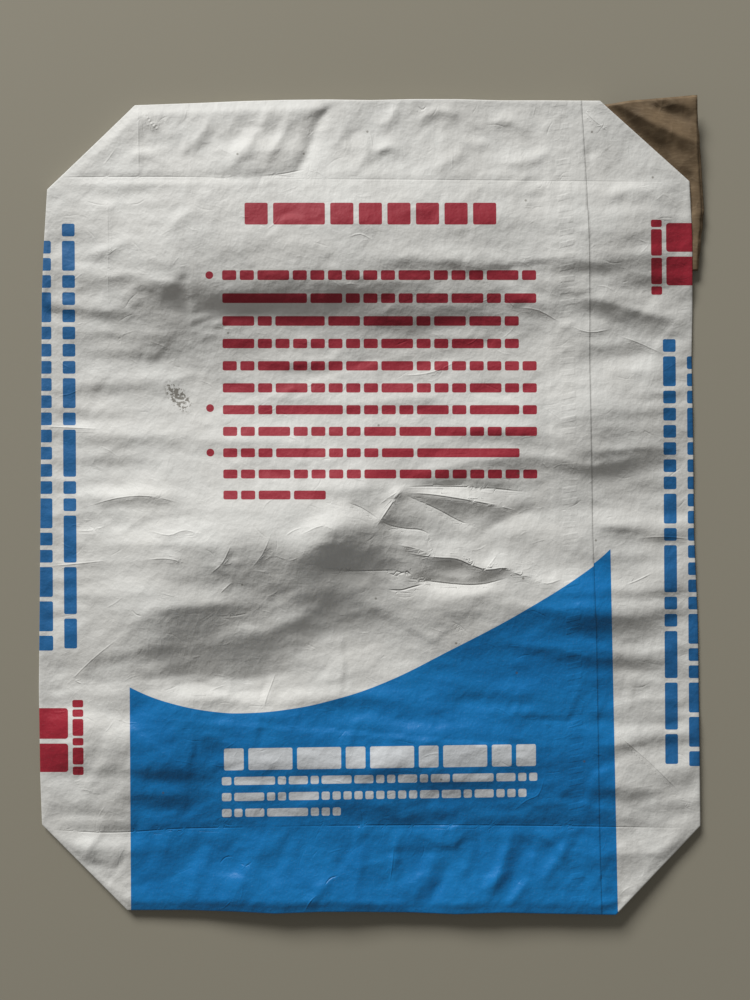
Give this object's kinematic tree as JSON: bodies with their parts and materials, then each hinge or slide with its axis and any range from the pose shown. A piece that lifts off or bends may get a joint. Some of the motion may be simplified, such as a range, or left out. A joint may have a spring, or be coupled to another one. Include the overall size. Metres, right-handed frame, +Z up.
{
  "type": "cement bag",
  "caption": "Empty paper valve sack for cement or dry mix, laid flat, with folded and pasted ends and a flat filling sleeve in a corner.",
  "frame": {"origin": "on the floor, under the middle of the flat sack", "axes": "+Y runs along the sack to its valve end, +X across it to the side that the valve opens on, +Z up from the floor through the plain face"},
  "size_m": [0.4275, 0.52, 0.0198],
  "materials": {
    "printed_kraft": "crumpled white kraft paper, printed with a blue field across one end",
    "white_kraft": "plain white kraft paper",
    "brown_kraft": "plain brown kraft paper"
  },
  "bodies": {
    "root": {"sack_tube": "printed_kraft", "plain_end_patch": "white_kraft", "valve_end_patch": "white_kraft", "valve_sleeve": "brown_kraft"}
  },
  "joints": []
}
